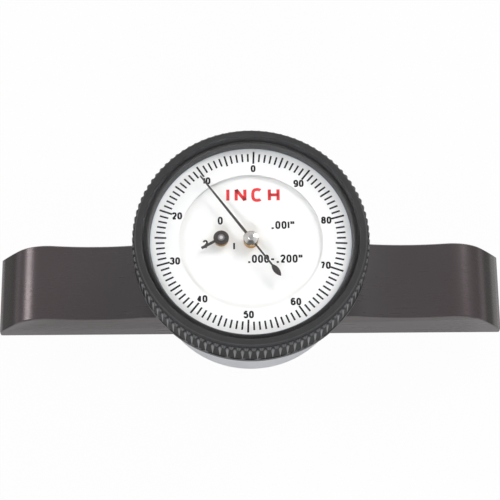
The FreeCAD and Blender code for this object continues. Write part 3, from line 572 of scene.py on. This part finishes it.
def closed_mesh(name, points, loop, material, body, sharp, painted_highlight_and_wear=None):
    """Puts a grid into a mesh, merges what meets at the axis and turns the faces outwards. Its last
    argument, from 0 to 1 at each point of the grid, is how much pale painted highlight, with some wear,
    the material puts there."""
    rows, columns = points.shape[:2]
    piece = placed_mesh(name, points.reshape(-1, 3), grid_faces(rows, columns, loop).tolist(), material,
                        body, smooth=True)
    if painted_highlight_and_wear is not None:
        piece.data.attributes.new("painted_highlight_and_wear", "FLOAT", "POINT").data.foreach_set("value", painted_highlight_and_wear.ravel())
    shape = bmesh.new()
    shape.from_mesh(piece.data)
    bmesh.ops.remove_doubles(shape, verts=shape.verts, dist=seam_distance)
    bmesh.ops.recalc_face_normals(shape, faces=shape.faces)
    shape.to_mesh(piece.data)
    shape.free()
    piece.data.set_sharp_from_angle(angle=math.radians(sharp))
    return piece


def smooth_outline(corners, steps):
    """Rounds the corners of a closed outline of (radius, height, rounding): each gives way to a
    curve that leaves one side and joins the other at its rounding, or at a third of a short side."""
    corners = np.asarray(corners, float)
    radius = corners[:, 2]
    corners = corners[:, :2]
    before = np.roll(corners, 1, 0) - corners
    after = np.roll(corners, -1, 0) - corners
    reach_before = np.minimum(radius / np.linalg.norm(before, axis=1), 1 / 3)[:, None]
    reach_after = np.minimum(radius / np.linalg.norm(after, axis=1), 1 / 3)[:, None]
    share = np.linspace(0, 1, steps)[None, :, None]
    start = (corners + before * reach_before)[:, None, :]
    end = (corners + after * reach_after)[:, None, :]
    middle = corners[:, None, :]
    curve = (1 - share) ** 2 * start + 2 * share * (1 - share) * middle + share ** 2 * end
    return curve.reshape(-1, 2)


cap_low, cap_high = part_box("hub_cap")
cap_radius = cap_high.x / mm
cap_foot = cap_low.z / mm
cap_peak = cap_high.z / mm
cap_wall = 0.20
cap_bore = 0.34
cap_steps = 96
cap_corner_steps = 6
cap_outline = smooth_outline([
    (cap_bore, cap_foot, 0.0), (cap_radius, cap_foot, 0.04), (cap_radius, cap_foot + cap_wall, 0.14),
    (cap_bore + 0.22, cap_peak, 0.12), (cap_bore + 0.10, cap_peak - 0.04, 0.05),
    (cap_bore, cap_peak - 0.14, 0.0)], cap_corner_steps) * mm


def capped_steel():
    """Polished steel with fine turning lines, and a painted dark reflection along its rolled edge."""
    material, place = new_finish("polished_cap")
    radius = place.from_axis()
    lines = radius.turning_lines(6000.0)
    # A painted dark reflection along the rolled edge.
    painted_dark_rim = radius.band((cap_radius - 0.12) * mm, (cap_radius - 0.02) * mm)
    colour = lines.tint((0.80, 0.78, 0.75), (0.96, 0.95, 0.92))
    surface(place, {"Base Color": painted_dark_rim.tint(colour, (0.20, 0.18, 0.17)), "Metallic": 1.0,
                    "Roughness": 0.14 + 0.08 * lines, "Normal": lines.relief(0.001 * mm, 0.4)})
    return material


cap = closed_mesh("polished_cap", turned_shape(cap_outline[:, 0], cap_outline[:, 1], cap_steps), True,
                  capped_steel(), "main_hand_body", sharp=35.0)
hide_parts("hub_cap")


# Bezel. Turned from steel and blackened, with a straight knurl rolled round its middle for the
# fingers. Its lip holds the crystal, a wire in its bore keeps it on the case, and it turns by hand.
bezel_low, bezel_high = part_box("bezel")
rim_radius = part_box("case_body")[1].x / mm
bore = rim_radius + 0.06
pocket = bore - 0.48
wire_groove = rim_radius + 0.3
wire_groove_top = -2.19
wire_groove_bottom = -2.99
pocket_ledge = -0.94
lip_top = 1.55
groove_foot = 0.60
shoulder = bore + 0.76
top_outer = shoulder - 0.13
top_inner = top_outer - 1.29
crystal_groove = top_inner - 0.1
lip_outer = crystal_groove - 0.86
lip_inner = lip_outer - 0.22
window = lip_inner - 0.32
skirt = bezel_high.x / mm
top = (bezel_high.z - ring_face) / mm
skirt_foot = (bezel_low.z - ring_face) / mm
ridges = 99
ridge_tip = shoulder + 0.48
groove_root = shoulder + 0.04
ridge_top = 0.30
ridge_half_top = math.degrees(ridge_top / 2 / ridge_tip) * ridges / 360
ridge_bevel = 0.22
ridge_bevel_foot = 1.25
knurl_top = 1.6
knurl_foot = -3.95
knurl_rows = 10
ridge_columns = 6
round_steps = ridge_columns * ridges
bezel_corner_steps = 5


def bezel_black():
    """Blackened steel with turning lines, darkened in the grip by painted shade, and pale where a value in
    the mesh paints highlight and some wear.
    """
    material, place = new_finish("bezel_black")
    radius = place.from_axis()
    turning = radius.turning_lines(9000.0, 3.0)
    mottle = place.cloudy(700.0)
    painted_highlight_and_wear = place.node("Attribute", {"attribute_name": "painted_highlight_and_wear"}, {}, out="Fac")
    # Painted shade darkens the grip.
    grip = (radius - 0.05 * mm).band(shoulder * mm, (shoulder + 0.1) * mm)
    colour = (0.5 * turning + 0.5 * mottle).tint((0.052, 0.052, 0.053), (0.084, 0.083, 0.084))
    colour = grip.tint(colour, (0.008, 0.008, 0.008))
    # Pale painted highlight, with a little wear at the top's outer edge, where the mesh's value is high.
    colour = (painted_highlight_and_wear * (0.7 + 0.5 * mottle)).tint(colour, (0.42, 0.41, 0.415))
    surface(place, {"Base Color": colour, "Specular IOR Level": 0.09,
                    "Roughness": 0.30 + 0.10 * mottle + 0.06 * turning,
                    "Normal": turning.relief(0.006 * mm, 0.5)})
    return material


def knurl(heights):
    """Angles and radii of the grip at these heights. The share of the way down is (top - z) over
    the knurl's height. A groove's floor widens from its root at share 0 to the ridge's tip at share
    1, a ridge's half width grows from its top's to half the pitch, and the flank between them is
    straight. The six columns of a pitch are the groove, a flank, the ridge's two edges and middle."""
    share = ((knurl_top - heights) / (knurl_top - knurl_foot))[:, None]
    half = ridge_half_top + (0.5 - ridge_half_top) * share
    up_bevel = np.clip((heights - ridge_bevel_foot) / (knurl_top - ridge_bevel_foot), 0, 1)
    tip = (ridge_tip - ridge_bevel * up_bevel)[:, None]
    root = np.minimum(groove_root + (ridge_tip - groove_root) * share, tip)
    flank = (root + tip) / 2
    places = np.hstack([0 * half, 0.25 - half / 2, 0.5 - half,
                        0.5 + 0 * half, 0.5 + half, 0.75 + half / 2])
    radii = np.hstack([root, flank, tip, tip, tip, flank])
    angles = (places[:, None, :] + np.arange(ridges)[None, :, None]) * 2 * math.pi / ridges
    return angles.reshape(len(heights), -1), np.tile(radii, (1, ridges))


smooth_part = smooth_outline([
    (shoulder, knurl_top, 0.0), (shoulder - 0.01, knurl_top + 0.4, 0.2), (top_outer, top, 0.24),
    (top_inner, top, 0.12), (crystal_groove, groove_foot, 0.06), (lip_outer, lip_top, 0.05),
    (lip_inner, lip_top, 0.08), (window, 0.0, 0.03), (pocket, 0.0, 0.0), (pocket, pocket_ledge, 0.0),
    (bore, pocket_ledge, 0.0), (bore, wire_groove_top, 0.0), (wire_groove, wire_groove_top, 0.0),
    (wire_groove, wire_groove_bottom, 0.0), (bore, wire_groove_bottom, 0.0), (bore, skirt_foot, 0.06),
    (skirt, skirt_foot, 0.10), (skirt, knurl_foot, 0.03)], bezel_corner_steps)
knurl_heights = np.append(np.linspace(knurl_foot, ridge_bevel_foot, knurl_rows), knurl_top)
knurl_angles, knurl_radii = knurl(knurl_heights)
even_angles = np.arange(round_steps) * 2 * math.pi / round_steps
bezel_angles = np.vstack([knurl_angles, np.tile(even_angles, (len(smooth_part), 1))])
bezel_radii = np.vstack([knurl_radii, np.repeat(smooth_part[:, :1], round_steps, 1)])
bezel_heights = np.append(knurl_heights, smooth_part[:, 1])
bezel_points = np.stack([bezel_radii * np.cos(bezel_angles), bezel_radii * np.sin(bezel_angles),
                         np.repeat(bezel_heights[:, None], round_steps, 1) + ring_face / mm], -1) * mm
# Painted highlights, carried in the mesh: pale where the rolled grooves run out, on the ridges' upper
# ends, on the skirt, and at the top's outer edge, which is also worn.
# The six shares follow the columns of one pitch.
run_out_top = ridge_bevel_foot - 0.6
run_out_fade = 0.9
ridge_end_fade = 0.1
skirt_highlight = 0.3
worn_edge_highlight = 0.25
edge_fade = 0.1
run_out = np.clip((run_out_top - knurl_heights[:, None]) / run_out_fade, 0, 1)
ridge_end = np.clip((knurl_heights[:, None] - ridge_bevel_foot) / ridge_end_fade + 1, 0, 1)
knurl_highlight = (run_out * np.tile([1.0, 0.8, 0.0, 0.0, 0.0, 0.8], ridges)
              + ridge_end * np.tile([0.0, 0.2, 0.5, 0.3, 0.5, 0.2], ridges))
on_skirt = (smooth_part[:, 0] > (shoulder + skirt) / 2) * skirt_highlight
from_edge = np.hypot(smooth_part[:, 0] - top_outer, smooth_part[:, 1] - top)
near_edge = worn_edge_highlight * np.exp(-(from_edge / edge_fade) ** 2)
painted_highlight_and_wear = np.vstack([knurl_highlight, np.repeat((on_skirt + near_edge)[:, None], round_steps, 1)])
black_bezel = closed_mesh("knurled_bezel", bezel_points, True, bezel_black(), "bezel_body",
                          sharp=25.0, painted_highlight_and_wear=painted_highlight_and_wear)
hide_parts("bezel")


# Crystal. A clear acrylic disc with a turned-down rim whose bevelled foot snaps into the groove
# of the bezel. It is thin and flat, so it shows the dial in its true place under a plain gloss.
def clear_acrylic():
    """Clear all through, with a gloss on its faces. The lamps' light passes it nearly undimmed."""
    material, place = new_finish("clear_acrylic")
    wiped = place.cloudy(300.0)
    shadow = place.node("LightPath", {}, {}, out="Is Shadow Ray")
    shell = place.node("BsdfPrincipled", {}, {
        "Base Color": (1.0, 1.0, 1.0, 1.0), "Roughness": 0.002 + 0.002 * wiped, "IOR": 1.0,
        "Transmission Weight": 1.0, "Coat Weight": 0.45 + 0.1 * wiped, "Coat Roughness": 0.02,
        "Coat IOR": 1.49})
    clear = place.node("BsdfTransparent", {}, {"Color": (0.97, 0.97, 0.97, 1.0)})
    mixed = place.node("MixShader", {}, {0: shadow, 1: shell, 2: clear})
    place.node("OutputMaterial", {}, {"Surface": mixed})
    return material


crystal_low, crystal_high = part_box("crystal")
crystal_radius = crystal_high.x / mm
crystal_top = (crystal_high.z - ring_face) / mm
crystal_foot = (crystal_low.z - ring_face) / mm
crystal_thickness = 0.90
crystal_bevel = 0.35
crystal_fit = 0.03
crystal_steps = 360
under = crystal_top - crystal_thickness
rim_inside = lip_outer + crystal_fit
crystal_outline = np.array([
    (0.0, under), (rim_inside, under), (rim_inside, lip_top + crystal_fit), (crystal_radius, crystal_foot),
    (crystal_radius, crystal_top - crystal_bevel), (crystal_radius - crystal_bevel, crystal_top),
    (0.0, crystal_top)])
crystal_points = turned_shape(crystal_outline[:, 0] * mm, crystal_outline[:, 1] * mm + ring_face,
                              crystal_steps)
crystal = closed_mesh("clear_crystal", crystal_points, False, clear_acrylic(), "bezel_body",
                      sharp=20.0)
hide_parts("crystal")


# Table and light. A white table under the gauge, a large soft box at the right, a low one at
# the left, a cool one in front, and a plain pale room all round.
def white_table():
    """White paint. The camera sees it as plain white, and polished metal sees it at a quarter."""
    material, place = new_finish("white_table")
    view = place.node("LightPath", {}, {}, out="Is Camera Ray")
    gloss = place.node("LightPath", {}, {}, out="Is Glossy Ray")
    through = place.node("LightPath", {}, {}, out="Is Transmission Ray")
    seen = view.maths("MAXIMUM", through).maths("MAXIMUM", 0.25 * gloss)
    matt = place.node("BsdfDiffuse", {}, {"Color": (0.90, 0.90, 0.90, 1.0)})
    white = place.node("Emission", {}, {"Color": (1.0, 1.0, 1.0, 1.0), "Strength": 1.0})
    mixed = place.node("MixShader", {}, {0: seen * 0.97, 1: matt, 2: white})
    place.node("OutputMaterial", {}, {"Surface": mixed})
    return material


table_height = cad_box[0][2]
table_half = 1.5
table_corners = [(x * table_half, y * table_half, table_height)
                 for x, y in ((-1, -1), (1, -1), (1, 1), (-1, 1))]
table_mesh = bpy.data.meshes.new("table")
table_mesh.from_pydata(table_corners, [], [(0, 1, 2, 3)])
table_mesh.materials.append(white_table())
table = bpy.data.objects.new("table", table_mesh)
bpy.context.scene.collection.objects.link(table)


lamp_aim = Vector((0.0, 0.0, 30 * mm))


def soft_box(name, azimuth, elevation, distance, width, height, power, colour):
    """A flat lamp in that direction from the dial, in degrees, turned to face it."""
    lamp = bpy.data.lights.new(name, "AREA")
    lamp.shape = "RECTANGLE"
    lamp.size = width
    lamp.size_y = height
    lamp.energy = power
    lamp.color = colour
    box = bpy.data.objects.new(name, lamp)
    a = math.radians(azimuth)
    e = math.radians(elevation)
    away = Vector((math.cos(a) * math.cos(e), math.sin(a) * math.cos(e), math.sin(e)))
    box.matrix_world = (Matrix.Translation(away * distance + lamp_aim)
                        @ away.to_track_quat("Z", "Y").to_matrix().to_4x4())
    bpy.context.scene.collection.objects.link(box)


soft_box("right_box", 48.0, 32.0, 0.7, 0.24, 0.24, 1.5, (1.0, 0.99, 0.98))
soft_box("left_box", 158.0, 25.0, 0.6, 0.14, 0.16, 0.6, (1.0, 1.0, 1.0))
soft_box("front_box", 270.0, 34.0, 0.7, 0.18, 0.08, 1.2, (0.88, 0.93, 1.0))

world = bpy.data.worlds.new("pale_room")
bpy.context.scene.world = world
world.use_nodes = True
world.node_tree.nodes.clear()
seed = world.node_tree.nodes.new("ShaderNodeTexCoord")
sky = Wire(world.node_tree, seed.outputs["Generated"])
toward_camera = sky.node("VectorMath", {"operation": "DOT_PRODUCT"}, {0: sky, 1: tuple(back)},
                         out="Value")
# The room is brighter overhead, and dark round the camera.
low_light = 0.28
overhead_light = 0.31
camera_shade = 0.9
overhead = sky.part(2).band(-0.1, 0.9)
glow = (low_light + overhead_light * overhead) * (1 - camera_shade * toward_camera.band(0.84, 0.95))
camera_ray = sky.node("LightPath", {}, {}, out="Is Camera Ray")
strength = camera_ray + (1 - camera_ray) * glow
background = sky.node("Background", {}, {"Color": (1.0, 1.0, 1.0, 1.0), "Strength": strength})
sky.node("OutputWorld", {}, {"Surface": background})

bpy.context.scene.view_settings.view_transform = "Standard"
